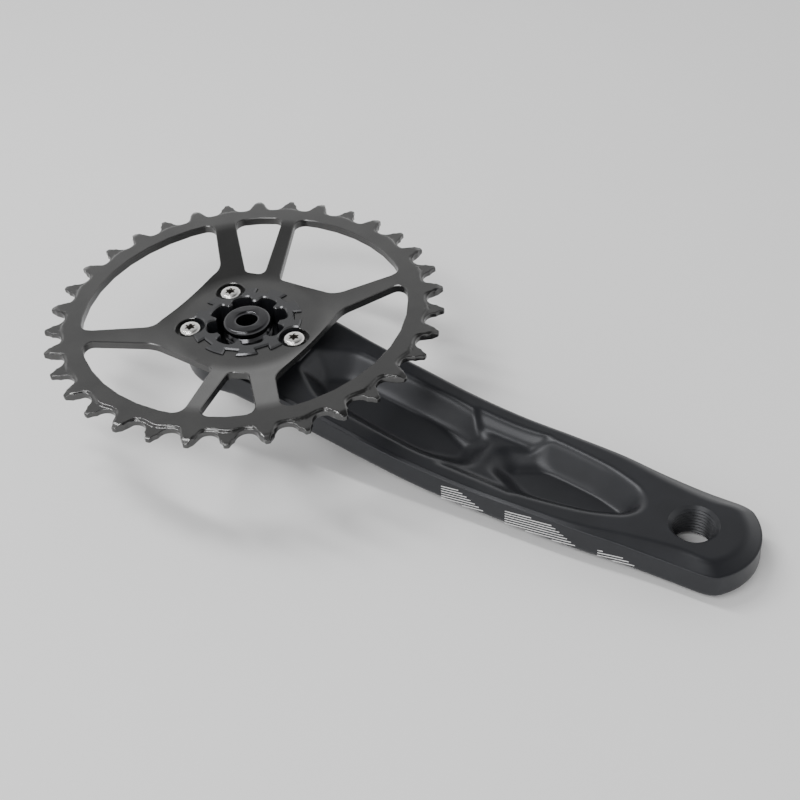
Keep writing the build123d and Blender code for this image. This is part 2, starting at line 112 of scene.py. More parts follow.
# Points at which the arm's surface is worked out, round its outline and then across it
HUB_STATIONS = 50
BEAM_STATIONS = 300
END_STATIONS = 56
TOP_STEPS = 44
WALL_STEPS = 9
BACK_STEPS = 30
ROUNDING_STEPS = 6

# Pockets: half outlines of their rims, and how softly the floor meets each wall in turn
POCKET_DRAFT = 42.0
POCKETS = [
    {
        "pivot": 60.01, "height": -15.4, "tilt": 11.3, "depth": 7.7, "rim_blend": 1.8,
        "rim": [(26.35, 5.5), (37.06, 13.2), (49.98, 14.4), (81.94, 14.4), (96.9, 8.5)],
        "blends": [2.2, 2.2, 2.2, 1.6, 3.5, 3.5],
    },
    {
        "pivot": 97.0, "height": -22.0, "tilt": 0.0, "depth": 7.7, "rim_blend": 1.8,
        "rim": [(96.9, 6.0), (112.03, 13.9), (129.03, 12.4), (140.93, 10.0), (149.94, 6.2), (153.0, 2.0)],
        "blends": [3.5, 3.5, 1.6, 1.6, 1.6, 1.6, 1.6],
    },
    {
        "pivot": 99.535, "height": -21.1, "tilt": 3.5, "depth": 3.5, "rim_blend": 2.2,
        "rim": [(86.02, 14.2), (113.05, 14.2)],
        "blends": [2.4, 2.4, 2.4],
    },
]

# Hatching on the near wall: left end, right end at the top and at the foot, top, foot
STRIPE_PANELS = [
    (90.8, 96.5, 107.8, -22.7, -29.2),
    (114.1, 130.0, 140.0, -23.9, -30.4),
    (146.0, 153.5, 160.0, -28.4, -31.2),
]
STRIPE_TILT = 6.5
STRIPE_PITCH = 1.05
STRIPE_WIDTH = 0.36
STRIPE_SINK = -0.02            # how far a strip's foot and top lie off the wall
STRIPE_RISE = 0.05
STRIPE_STATIONS = 12

HUB_RADIUS = 23.0
HUB_FACE_RADIUS = 16.5
HUB_WALL_FOOT = -13.5
HUB_BACK = -22.0
SHOULDER_HEIGHT = -4.0
SPIGOT_RADIUS = 19.8
EDGE_BREAK = 0.5
LOBE_COUNT = 8
LOBE_RADIUS = 14.5
LAND_RADIUS = 11.5
LOBE_HALF_WIDTH = 3.6
LOBE_CORNER = math.degrees(math.asin(LOBE_HALF_WIDTH / LOBE_RADIUS))
LAND_CORNER = math.degrees(math.asin(LOBE_HALF_WIDTH / LAND_RADIUS))
LOBE_ROUNDING = 1.8
LAND_ROUNDING = 0.7
SOCKET_BREAK = 0.5
SOCKET_DEPTH = 12.0
SPLINE_ANGLES = (36, 72, 108, 180, 252, 288, 324)
SPLINE_TIP = 17.0
SPLINE_HALF_WIDTH = 2.3
SPLINE_GAP = 0.05
RING_BOLT_ANGLES = (0, 144, 216)
RING_BOLT_CIRCLE = 20.5
RING_BOLT_HOLE = 2.55
RING_BOLT_DEPTH = 10.0
RECESS_RADIUS = 5.3
RECESS_FLOOR = -2.8
WEB_HOLE_RADIUS = 9.3
WEB_FACE = -14.0
BOLT_SEAT_RADIUS = 13.3
CAP_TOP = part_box("extractor_cap")[1].z / MM
CAP_BORE = 15.05

PEDAL_FACE = -22.0
PEDAL_BACK = -35.0
PEDAL_THREAD_RADIUS = mounts["pedal_thread"]["dims"]["r_mm"]
PEDAL_THREAD_DEPTH = 0.62
PEDAL_PITCH = 1.27             # 20 threads to the inch
PEDAL_THREAD_LEVELS = 150
PEDAL_SINK_RADIUS = 8.1
PEDAL_RECESS_RADIUS = 11.0
PEDAL_RECESS_DEPTH = 2.0

TOOTH_COUNT = 34
CHAIN_PITCH = 12.7
PITCH_RADIUS = CHAIN_PITCH / (2 * math.sin(math.pi / TOOTH_COUNT))
CHAIN_PLANE = mounts["chain_line"]["pos_m"][2] / MM
PLATE = 3.2
THIN = 2.0
HUB_CREASE = 26.6
RIM_CREASE = PITCH_RADIUS - 13.92
FIRST_TOOTH = 121.66           # angle of a wide tooth
TOOTH_SEAT = 3.95
ROOT_RADIUS = PITCH_RADIUS - TOOTH_SEAT
TIP_RISE = 2.38
TIP_HALF_WIDTH = 1.05
TIP_ROUNDING = 0.75
SEAT_POINTS = 9
DISH_BLEND = 0.16
HUB_LAYERS = 18                # rings of points in the plate, inside and outside this depth
RIM_LAYERS = 20
LAYER_SPLIT = 9.0
# Coined steps: where full thickness ends between teeth, and the rib's half widths on a wide tooth
COIN_INSET = 0.75
COIN_WAVE = 1.1
COIN_RUN = 0.8
RIB_HALF_WIDTHS = (3.4, 1.75, 0.95)
RIB_BLEND = 1.0
TIP_BEVEL_REACH = 2.2
TIP_BEVEL_SLOPE = 0.42
TIP_BEVEL_BLEND = 0.25
RING_ROUNDING = 0.3
WINDOW_DROP = 10.6
WINDOW_ROUNDING = 3.8
# Windows: two inner corners as radius, angle and rounding, and the angles of their outer corners
WINDOWS = [
    ((33.8, 232.0, 10.0), (27.2, 280.2, 3.0), 227.1, 286.1),
    ((28.6, 293.3, 2.6), (30.3, 307.4, 2.6), 291.1, 310.3),
    ((35.0, 142.5, 8.0), (34.0, 215.2, 8.0), 138.1, 221.0),
]
RING_BOLT_RADIUS = 2.5
RING_BOLT_HEAD = 4.05
HEAD_HEIGHT = 2.3
STAR_RADIUS = 1.62
STAR_LOBE = 0.36
STAR_POINTS = 72
STAR_REACH = 2.14              # faces nearer the bolt's axis than this belong to its socket, which takes the painted shade

BOLT_RADIUS = mounts["crank_bolt_thread"]["dims"]["r_mm"]
BOLT_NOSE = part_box("crank_bolt")[1].z / MM
BOLT_NOSE_RADIUS = 8.7
BOLT_NOSE_ROUNDING = 1.4
BOLT_GROOVE_RADIUS = 7.7
BOLT_GROOVE_START = -1.6
BOLT_GROOVE_END = -3.0
BOLT_THREAD_END = -11.5
BOLT_THREAD_DEPTH = 0.6
BOLT_PITCH = 1.0
BOLT_THREAD_LEVELS = 90
BOLT_ROUNDING_STEPS = 8
BOLT_NECK_RADIUS = 8.8
BOLT_BORE = 3.6
BOLT_LEAD = 1.1
BOLT_HEX = 8.0
BOLT_HEX_DEPTH = 8.0
FLANGE_RADIUS = 13.0
FLANGE_BREAK = 0.3
FACE_GAP = 0.05                # between the washer and the flange that turns on it
FLANGE_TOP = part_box("thrust_washer")[0].z / MM - FACE_GAP
FLANGE_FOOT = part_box("crank_bolt")[0].z / MM

# The turned inboard face of the arm starts to show at the first height and is full at the second
MACHINED_FROM = -1.2
MACHINED_TO = -0.8

# ---------------------------------------------------------------- camera and studio, in metres
CAMERA_RIGHT = (0.85532, 0.51453, -0.06079)
CAMERA_UP = (-0.29882, 0.58576, 0.75339)
CAMERA_BACK = (0.42325, -0.62622, 0.65476)
CAMERA_PLACE = (0.24347, -0.26656, 0.26558)
CAMERA_LENS = 55.7             # millimetres, as its sensor
CAMERA_SENSOR = 36.0
FLOOR_HALF = 40.0
FLOOR_GAP = 0.0003
SKY_STRENGTH = 1.4
# Sky: height of a direction, from 0 level to 1 straight up, and its brightness
SKY_STOPS = [(0.0, 1.0), (0.36, 1.0), (0.66, 0.46), (0.79, 0.36), (0.86, 0.06), (1.0, 0.03)]
# Strips: name, place, point aimed at, length and width, watts
STRIP_LIGHTS = [
    ("overhead", (-0.36, -0.01, 0.78), (0.06, 0.0, -0.01), (0.5, 0.08), 3.4),
    ("front", (0.0, -0.58, 0.74), (0.0, 0.0, 0.0), (0.55, 0.16), 3.2),
]


# ---------------------------------------------------------------- surfaces worked out from planes
def smooth_min(a, b, width):
    """Lower of two heights, rounded where they cross."""
    share = np.clip(0.5 + 0.5 * (b - a) / width, 0.0, 1.0)
    return b + (a - b) * share - width * share * (1.0 - share)


def smooth_max(a, b, width):
    """Higher of two heights, rounded where they cross."""
    return -smooth_min(-a, -b, width)


def section_value(column, x):
    """One measure of the arm's sections at the places x, on a smooth curve."""
    places = SECTIONS[:, 0]
    values = SECTIONS[:, column]
    slopes = np.gradient(values, places)
    inside = np.clip(x, places[0], places[-1])
    index = np.clip(np.searchsorted(places, inside) - 1, 0, len(places) - 2)
    span = places[index + 1] - places[index]
    t = (inside - places[index]) / span
    start_share = (1 + 2 * t) * (1 - t) ** 2
    end_share = t * t * (3 - 2 * t)
    start_slope = t * (1 - t) ** 2 * span
    end_slope = t * t * (t - 1) * span
    return (
        start_share * values[index]
        + end_share * values[index + 1]
        + start_slope * slopes[index]
        + end_slope * slopes[index + 1]
    )


def pocket_height(x, y, pocket):
    """Height of a pocket's floor and walls over (x, y), as the blend of their planes."""
    slope = math.radians(pocket["tilt"])
    steep = 1.0 / math.tan(math.radians(POCKET_DRAFT))
    run = x - pocket["pivot"]
    side = np.abs(y)
    height = (-pocket["depth"] - run * math.sin(slope)) / math.cos(slope)
    rim = [((px - pocket["pivot"]) / math.cos(slope), py) for px, py in pocket["rim"]]
    corners = [(rim[0][0], 0.0)] + rim + [(rim[-1][0], 0.0)]
    for (ax, ay), (bx, by), blend in zip(corners, corners[1:], pocket["blends"]):
        length = math.hypot(bx - ax, by - ay)
        normal_x, normal_y = (by - ay) / length, -(bx - ax) / length
        offset = normal_x * ax + normal_y * ay
        wall = -steep * (normal_x * math.cos(slope) * run + normal_y * side - offset)
        wall = (wall - math.sin(slope) * run) / (math.cos(slope) - steep * normal_x * math.sin(slope))
        height = smooth_max(height, wall, blend)
    return pocket["height"] + height


def arm_top(x, y, inset):
    """Inboard surface of the arm over (x, y), where inset is the distance from its outline."""
    face = section_value(FACE_COLUMN, x)
    edge_slope = section_value(EDGE_DROP_COLUMN, x) / section_value(EDGE_WIDTH_COLUMN, x)
    height = smooth_min(face, face - (section_value(EDGE_WIDTH_COLUMN, x) - inset) * edge_slope, EDGE_BLEND)
    for pocket in POCKETS:
        height = smooth_min(height, pocket_height(x, y, pocket), pocket["rim_blend"])
    hub = SHOULDER_HEIGHT - SHOULDER_SLOPE * (np.hypot(x, y) - HUB_RADIUS)
    return smooth_max(height, np.minimum(hub, SHOULDER_HEIGHT), SHOULDER_BLEND)


def arm_bottom(x, y, inset, reach):
    """Outboard surface of the arm over (x, y), where reach is the local half width."""
    foot = section_value(FOOT_COLUMN, x)
    back = section_value(BACK_COLUMN, x)
    crown = foot - back
    facet_run = BACK_FACET_RUN + WALL_FLARE
    facet = foot - (inset + WALL_FLARE) * crown * BACK_FACET_SHARE / facet_run
    inner_run = reach * (1 - BACK_FLAT_SHARE) - BACK_FACET_RUN
    inner_foot = foot - crown * BACK_FACET_SHARE
    inner = inner_foot - (inset - BACK_FACET_RUN) * crown * (1 - BACK_FACET_SHARE) / inner_run
    beam = smooth_max(smooth_max(back, inner, BACK_BLEND), facet, FACET_BLEND)
    beam = beam + TAIL_SLOPE * np.maximum(-x, 0.0)
    cone_slope = (HUB_WALL_FOOT - HUB_BACK) / (HUB_RADIUS - HUB_FACE_RADIUS)
    cone = HUB_BACK + (np.hypot(x, y) - HUB_FACE_RADIUS) * cone_slope
    return smooth_min(smooth_max(HUB_BACK, cone, CONE_BLEND), beam, HUB_BEAM_BLEND)


# ---------------------------------------------------------------- mesh helpers
def object_from(name, points, faces):
    """Mesh object from points in millimetres, with doubled points joined."""
    mesh = bpy.data.meshes.new(name)
    mesh.from_pydata([tuple(point) for point in np.asarray(points) * MM], [], faces)
    work = bmesh.new()
    work.from_mesh(mesh)
    bmesh.ops.remove_doubles(work, verts=work.verts, dist=0.002 * MM)
    bmesh.ops.dissolve_degenerate(work, dist=0.001 * MM, edges=work.edges)
    bmesh.ops.recalc_face_normals(work, faces=work.faces)
    work.to_mesh(mesh)
    work.free()
    thing = bpy.data.objects.new(name, mesh)
    bpy.context.scene.collection.objects.link(thing)
    return thing


def grid_faces(rows, columns, closed):
    """Quads over a grid of points, closed round the columns if asked."""
    faces = []
    for row in range(rows - 1):
        for column in range(columns if closed else columns - 1):
            after = (column + 1) % columns
            faces.append(
                (row * columns + column, row * columns + after,
                 (row + 1) * columns + after, (row + 1) * columns + column)
            )
    return faces


def stack(name, loops):
    """Closed solid through equal loops of points, with a flat cap at each end."""
    loops = np.asarray(loops)
    rows, columns = loops.shape[:2]
    faces = grid_faces(rows, columns, True)
    faces.append(tuple(range(columns)))
    faces.append(tuple((rows - 1) * columns + column for column in range(columns)))
    return object_from(name, loops.reshape(-1, 3), faces)


def round_loop(radius, height, count, centre=(0.0, 0.0), turn=0.0):
    """Points round a circle, or round a polygon if there are few of them."""
    angles = np.linspace(0, 2 * math.pi, count, endpoint=False) + turn
    radius = np.broadcast_to(radius, angles.shape)
    height = np.broadcast_to(height, angles.shape)
    return np.column_stack(
        (centre[0] + radius * np.cos(angles), centre[1] + radius * np.sin(angles), height)
    )


def turned(name, profile, count=96, centre=(0.0, 0.0)):
    """Solid turned from (radius, height) steps, closed flat at both ends."""
    return stack(name, [round_loop(radius, height, count, centre) for radius, height in profile])


def combine(body, tool, operation):
    """Boolean of two solids, made at once, after which the tool is gone."""
    step = body.modifiers.new("combine", "BOOLEAN")
    step.operation = operation
    step.solver = "MANIFOLD"
    step.object = tool
    graph = bpy.context.evaluated_depsgraph_get()
    result = bpy.data.meshes.new_from_object(body.evaluated_get(graph))
    body.modifiers.clear()
    body.data = result
    bpy.data.objects.remove(tool)


def combine_all(body, tools, operation):
    """Boolean of a body with several solids, which are joined to each other first."""
    for tool in tools[1:]:
        combine(tools[0], tool, "UNION")
    combine(body, tools[0], operation)


def finish_shading(thing, angle):
    """Smooth shading with the edges over an angle kept sharp."""
    thing.data.shade_smooth()
    thing.data.set_sharp_from_angle(angle=math.radians(angle))


def thread_wave(phase):
    """Depth of a thread from 0 at the crest to 1 at the root, over a phase in turns."""
    saw = np.abs(2.0 * (phase % 1.0) - 1.0)
    return np.clip((saw - 0.12) / 0.76, 0.0, 1.0)


def polar(radius, angle):
    """Plan point at a radius and an angle in degrees."""
    return (radius * math.cos(math.radians(angle)), radius * math.sin(math.radians(angle)))


# ---------------------------------------------------------------- crank arm
def half_outline():
    """Spine point, direction and reach of each station round the +Y half of the arm."""
    hub_angles = np.radians(np.linspace(180, 90, HUB_STATIONS, endpoint=False))
    end_angles = np.radians(np.linspace(90, 0, END_STATIONS))
    places = np.linspace(0, ARM_LENGTH, BEAM_STATIONS, endpoint=False)
    spine = np.concatenate((np.zeros(HUB_STATIONS), places, np.full(END_STATIONS, ARM_LENGTH)))
    angles = np.concatenate((hub_angles, np.full(BEAM_STATIONS, math.pi / 2), end_angles))
    disc = np.sqrt(np.maximum(HUB_RADIUS ** 2 - places ** 2, 0.0))
    side = smooth_max(disc, section_value(HALF_WIDTH_COLUMN, places), HUB_SIDE_BLEND)
    end_side = section_value(HALF_WIDTH_COLUMN, np.full(END_STATIONS, ARM_LENGTH))
    end_reach = smooth_min(END_RADIUS, end_side / np.maximum(np.sin(end_angles), 0.1), END_BLEND)
    reach = np.concatenate((np.full(HUB_STATIONS, HUB_RADIUS), side, end_reach))
    return spine, angles, reach


def forged_body():
    """The forging without its machined features."""
    spine, angles, reach = half_outline()
    across, up = np.cos(angles), np.sin(angles)
    columns = []

    def add(distance, height):
        """Next column of points, at a distance out from the spine."""
        x = spine + across * distance
        y = up * distance
        columns.append(np.column_stack((x, y, height(x, y, distance))))

    inner = reach - TOP_ROUNDING
    for share in np.linspace(0, 1, TOP_STEPS):
        add(inner * share, lambda x, y, distance: arm_top(x, y, reach - distance))
    rim = columns[-1][:, 2]
    for turn in np.linspace(0, math.pi / 2, ROUNDING_STEPS)[1:]:
        drop = TOP_ROUNDING * (1 - math.cos(turn))
        add(inner + TOP_ROUNDING * math.sin(turn), lambda x, y, distance, drop=drop: rim - drop)
    wall_top = rim - TOP_ROUNDING
    foot = section_value(FOOT_COLUMN, spine + across * reach) + FOOT_ROUNDING * FOOT_RISE
    for share in np.linspace(0, 1, WALL_STEPS)[1:]:
        level = wall_top + (foot - wall_top) * share
        add(reach + WALL_FLARE * share, lambda x, y, distance, level=level: level)
    outer = reach + WALL_FLARE - FOOT_ROUNDING
    low = arm_bottom(spine + across * outer, up * outer, reach - outer, reach)
    for turn in np.linspace(0, math.pi / 2, ROUNDING_STEPS)[1:]:
        level = foot + (low - foot) * math.sin(turn)
        add(outer + FOOT_ROUNDING * math.cos(turn), lambda x, y, distance, level=level: level)
    for share in np.linspace(1, 0, BACK_STEPS)[1:]:
        add(outer * share, lambda x, y, distance: arm_bottom(x, y, reach - distance, reach))

    half = np.stack(columns, axis=1)
    rows, width = half.shape[:2]
    points = np.concatenate((half.reshape(-1, 3), (half * (1, -1, 1)).reshape(-1, 3)))
    faces = grid_faces(rows, width, False)
    mirrored = [tuple(index + rows * width for index in reversed(face)) for face in faces]
    return object_from("forged_arm", points, faces + mirrored)


def socket_cutter():
    """Spindle socket with rounded lobes and a broken edge."""
    corners = []
    for index in range(LOBE_COUNT):
        turn = 360 / LOBE_COUNT * index
        for side in (-1, 1):
            ends = [
                (*polar(LAND_RADIUS, turn + side * LAND_CORNER), LAND_ROUNDING),
                (*polar(LOBE_RADIUS, turn + side * LOBE_CORNER), LOBE_ROUNDING),
            ]
            corners += ends if side < 0 else ends[::-1]
            if side < 0:
                corners += [(*polar(LOBE_RADIUS, turn + step), 0) for step in (-4, 0, 4)]
    outline = rounded_outline(corners)
    normals = outward(outline)
    loops = []
    for height, grow in [(-SOCKET_DEPTH, 0.0), (-SOCKET_BREAK, 0.0), (0.1, SOCKET_BREAK + 0.1)]:
        loops.append(np.column_stack((outline + normals * grow, np.full(len(outline), height))))
    return stack("socket", loops)


def notch_cutter(angle):
    """Notch in the spigot for one spline tooth."""
    inner = SPLINE_TIP - SPLINE_GAP
    outer = HUB_RADIUS + 1
    half = SPLINE_HALF_WIDTH + SPLINE_GAP
    turn = math.radians(angle)
    loops = []
    for height, grow in [(SHOULDER_HEIGHT, 0.0), (-EDGE_BREAK, 0.0), (1.0, EDGE_BREAK + 1.0)]:
        corners = [(inner - grow, -half - grow), (outer, -half - grow),
                   (outer, half + grow), (inner - grow, half + grow)]
        loops.append([
            (x * math.cos(turn) - y * math.sin(turn), x * math.sin(turn) + y * math.cos(turn), height)
            for x, y in corners
        ])
    return stack("notch", loops)


def pedal_thread_cutter():
    """Tapped hole with its countersink."""
    count = 112
    top, bottom = PEDAL_FACE + 1.0, PEDAL_BACK - 1.0
    turns = np.linspace(0, 1, count, endpoint=False)
    loops = []
    for height in np.linspace(bottom, top, PEDAL_THREAD_LEVELS):
        depth = thread_wave(height / PEDAL_PITCH - turns)
        radius = PEDAL_THREAD_RADIUS - PEDAL_THREAD_DEPTH * depth
        sink = PEDAL_SINK_RADIUS + (height - PEDAL_FACE)
        loops.append(round_loop(np.maximum(radius, sink), height, count, (ARM_LENGTH, 0.0)))
    return stack("tapped_hole", loops)


def make_arm():
    """Forging with the spigot, socket, bolt seats and the tapped pedal eye."""
    arm = forged_body()
    spigot = turned("spigot", [
        (SPIGOT_RADIUS, SHOULDER_HEIGHT - 3), (SPIGOT_RADIUS, -EDGE_BREAK),
        (SPIGOT_RADIUS - EDGE_BREAK, 0.0),
    ], 160)
    combine(arm, spigot, "UNION")
    cutters = [socket_cutter()]
    cutters += [notch_cutter(angle) for angle in SPLINE_ANGLES]
    for angle in RING_BOLT_ANGLES:
        centre = polar(RING_BOLT_CIRCLE, angle)
        cutters.append(turned("bolt_recess", [
            (RECESS_RADIUS, RECESS_FLOOR), (RECESS_RADIUS, -EDGE_BREAK),
            (RECESS_RADIUS + EDGE_BREAK + 1, 1.0),
        ], 72, centre))
        cutters.append(turned("bolt_hole", [
            (RING_BOLT_HOLE, RECESS_FLOOR - RING_BOLT_DEPTH - 0.5), (RING_BOLT_HOLE, 0.0),
        ], 32, centre))
    cutters.append(turned("bolt_seats", [
        (WEB_HOLE_RADIUS, 1 - SOCKET_DEPTH), (WEB_HOLE_RADIUS, WEB_FACE), (BOLT_SEAT_RADIUS, WEB_FACE),
        (BOLT_SEAT_RADIUS, CAP_TOP), (CAP_BORE, CAP_TOP), (CAP_BORE, HUB_BACK + 0.4),
        (CAP_BORE + 1.4, HUB_BACK - 1),
    ], 128))
    cutters.append(pedal_thread_cutter())
    cutters.append(turned("pedal_recess", [
        (PEDAL_RECESS_RADIUS, PEDAL_BACK + PEDAL_RECESS_DEPTH),
        (PEDAL_RECESS_RADIUS, PEDAL_BACK + 0.3), (PEDAL_RECESS_RADIUS + 1.3, PEDAL_BACK - 1),
    ], 96, (ARM_LENGTH, 0.0)))
    combine_all(arm, cutters, "DIFFERENCE")
    finish_shading(arm, 32)
    return arm


def wall_point(x, height, proud):
    """Point on the arm's near wall, or a little off it."""
    top = section_value(FACE_COLUMN, x) - section_value(EDGE_DROP_COLUMN, x) - TOP_ROUNDING
    foot = section_value(FOOT_COLUMN, x) + FOOT_ROUNDING * FOOT_RISE
    share = float(np.clip((top - height) / (top - foot), 0, 1))
    return (x, -(section_value(HALF_WIDTH_COLUMN, x) + WALL_FLARE * share + proud), height)


def make_side_stripes():
    """Plain slanted hatching in white on the near wall, as thin raised strips."""
    points, faces = [], []
    slope = math.tan(math.radians(STRIPE_TILT))
    section = [(STRIPE_SINK, -1), (STRIPE_RISE, -1), (STRIPE_RISE, 1), (STRIPE_SINK, 1)]
    corners = len(section)
    last = corners * STRIPE_STATIONS - 1
    ends = [tuple(range(corners)), tuple(range(last, last - corners, -1))]
    for left, right_top, right_low, top, low in STRIPE_PANELS:
        lean = (right_top - right_low) / (top - low)
        level = low - (right_low - left) * slope + STRIPE_PITCH
        while level < top:
            start = max(left, left + (low - level) / slope)
            end = min(left + (top - level) / slope,
                      (right_low + lean * (level - slope * left - low)) / (1 - lean * slope))
            if end - start > 2 * STRIPE_WIDTH:
                places = np.linspace(start, end, STRIPE_STATIONS)
                offset = len(points)
                for x in places:
                    height = level + slope * (x - left)
                    for proud, side in section:
                        points.append(wall_point(x, height + side * STRIPE_WIDTH / 2, proud))
                strip = grid_faces(STRIPE_STATIONS, corners, True) + ends
                faces += [tuple(index + offset for index in face) for face in strip]
            level += STRIPE_PITCH
    return object_from("side_stripes", points, faces)


# ---------------------------------------------------------------- crank bolt
def make_crank_bolt():
    """Hollow M18 bolt with a rounded nose, a thread and a flange."""
    count = 128
    turns = np.linspace(0, 1, count, endpoint=False)
    steps = []
    for turn in np.linspace(0, math.pi / 2, BOLT_ROUNDING_STEPS):
        steps.append((
            BOLT_NOSE_RADIUS - BOLT_NOSE_ROUNDING * (1 - math.sin(turn)),
            BOLT_NOSE - BOLT_NOSE_ROUNDING * (1 - math.cos(turn)),
        ))
    steps += [
        (BOLT_NOSE_RADIUS, BOLT_GROOVE_START), (BOLT_GROOVE_RADIUS, BOLT_GROOVE_START - 0.6),
        (BOLT_GROOVE_RADIUS, BOLT_GROOVE_END),
    ]
    loops = [round_loop(radius, height, count) for radius, height in steps]
    for height in np.linspace(BOLT_GROOVE_END - 0.1, BOLT_THREAD_END + 0.1, BOLT_THREAD_LEVELS):
        depth = BOLT_THREAD_DEPTH * thread_wave(height / BOLT_PITCH - turns)
        lead = BOLT_GROOVE_RADIUS + (BOLT_GROOVE_END - height)
        loops.append(round_loop(np.minimum(BOLT_RADIUS - depth, lead), height, count))
    steps = [
        (BOLT_NECK_RADIUS, BOLT_THREAD_END), (BOLT_NECK_RADIUS, FLANGE_TOP),
        (FLANGE_RADIUS - FLANGE_BREAK, FLANGE_TOP), (FLANGE_RADIUS, FLANGE_TOP - FLANGE_BREAK),
        (FLANGE_RADIUS, FLANGE_FOOT + FLANGE_BREAK), (FLANGE_RADIUS - FLANGE_BREAK, FLANGE_FOOT),
    ]
    loops += [round_loop(radius, height, count) for radius, height in steps]
    bolt = stack("crank_bolt_turned", loops)
    bore = [(BOLT_BORE, FLANGE_FOOT - 1)]
    for turn in np.linspace(0, math.pi / 2, BOLT_ROUNDING_STEPS):
        lip = BOLT_LEAD * math.sin(turn)
        bore.append((BOLT_BORE + BOLT_LEAD * (1 - math.cos(turn)), BOLT_NOSE - BOLT_LEAD + lip))
    bore.append((BOLT_BORE + BOLT_LEAD, BOLT_NOSE + 1))
    combine(bolt, turned("bore", bore, 96), "DIFFERENCE")
    corner = BOLT_HEX / math.sqrt(3)
    hexagon = [
        (corner + 1.4, FLANGE_FOOT - 1), (corner, FLANGE_FOOT + 0.4),
        (corner, FLANGE_FOOT + BOLT_HEX_DEPTH),
    ]
    combine(bolt, turned("hexagon", hexagon, 6), "DIFFERENCE")
    finish_shading(bolt, 35)
    return bolt


# ---------------------------------------------------------------- chainring
def dish_top(radius):
    """Inboard face of the dished plate, at its full thickness."""
    hub_face = SHOULDER_HEIGHT + PLATE
    rim_face = CHAIN_PLANE + PLATE / 2
    slope = (rim_face - hub_face) / (RIM_CREASE - HUB_CREASE)
    cone = hub_face + (radius - HUB_CREASE) * slope
    return smooth_min(smooth_max(cone, hub_face, DISH_BLEND), rim_face, DISH_BLEND)


def tooth_outline():
    """Outline of every tooth, with the outward normals, as two arrays of plan points."""
    pitch_turn = 2 * math.pi / TOOTH_COUNT
    gap = (PITCH_RADIUS * math.cos(pitch_turn / 2), PITCH_RADIUS * math.sin(pitch_turn / 2))
    half = []
    for turn in np.radians(np.linspace(90, 8, SEAT_POINTS)):
        half.append((TOOTH_SEAT * math.cos(turn), TOOTH_SEAT * math.sin(turn)))
    half = [(-y, -x) for x, y in half]
    local = [(gap[0] + x * math.cos(pitch_turn / 2) - y * math.sin(pitch_turn / 2),
              gap[1] + x * math.sin(pitch_turn / 2) + y * math.cos(pitch_turn / 2)) for x, y in half]
    start_x, start_y = local[-1]
    tip = PITCH_RADIUS + TIP_RISE
    for share in (0.35, 0.7):
        bow = 0.25 * math.sin(math.pi * share)
        local.append((start_x + (tip - TIP_ROUNDING - start_x) * share,
                      start_y + (TIP_HALF_WIDTH - start_y) * share - bow))
    for turn in np.radians((0, 30, 60)):
        local.append((tip - TIP_ROUNDING + TIP_ROUNDING * math.sin(turn),
                      TIP_HALF_WIDTH - TIP_ROUNDING * (1 - math.cos(turn))))
    local.append((tip, 0.0))
    tooth = local + [(x, -y) for x, y in reversed(local[1:-1])]
    points = []
    for index in range(TOOTH_COUNT):
        angle = math.radians(FIRST_TOOTH) - index * pitch_turn
        for x, y in tooth:
            points.append((x * math.cos(angle) - y * math.sin(angle),
                           x * math.sin(angle) + y * math.cos(angle)))
    points = np.array(points)
    along = np.roll(points, -1, axis=0) - np.roll(points, 1, axis=0)
    normals = np.column_stack((-along[:, 1], along[:, 0]))
    return points, normals / np.linalg.norm(normals, axis=1)[:, None]


def half_thickness(x, y):
    """Half thickness of the ring over (x, y): full in the plate, coined down round the teeth."""
    radius = np.hypot(x, y)
    pitch_turn = 2 * math.pi / TOOTH_COUNT
    place = (math.radians(FIRST_TOOTH) - np.arctan2(y, x)) / pitch_turn
    nearest = np.round(place)
    side = np.abs(place - nearest) * pitch_turn * radius
    wide = (nearest % 2 == 0)
    wave = 0.5 + 0.5 * np.cos(2 * math.pi * (place - nearest))
    plate = ROOT_RADIUS - COIN_INSET + COIN_WAVE * wave - radius
    rib_radii = (ROOT_RADIUS, PITCH_RADIUS, PITCH_RADIUS + TIP_RISE)
    rib = np.interp(radius, rib_radii, RIB_HALF_WIDTHS) - side
    solid = np.where(wide, smooth_max(plate, rib, RIB_BLEND), plate)
    step = np.clip(0.5 + solid / COIN_RUN, 0.0, 1.0)
    half = THIN / 2 + (PLATE - THIN) / 2 * step * step * (3 - 2 * step)
    bevel = PLATE / 2 - (radius - (PITCH_RADIUS + TIP_RISE - TIP_BEVEL_REACH)) * TIP_BEVEL_SLOPE
    return smooth_min(half, bevel, TIP_BEVEL_BLEND)


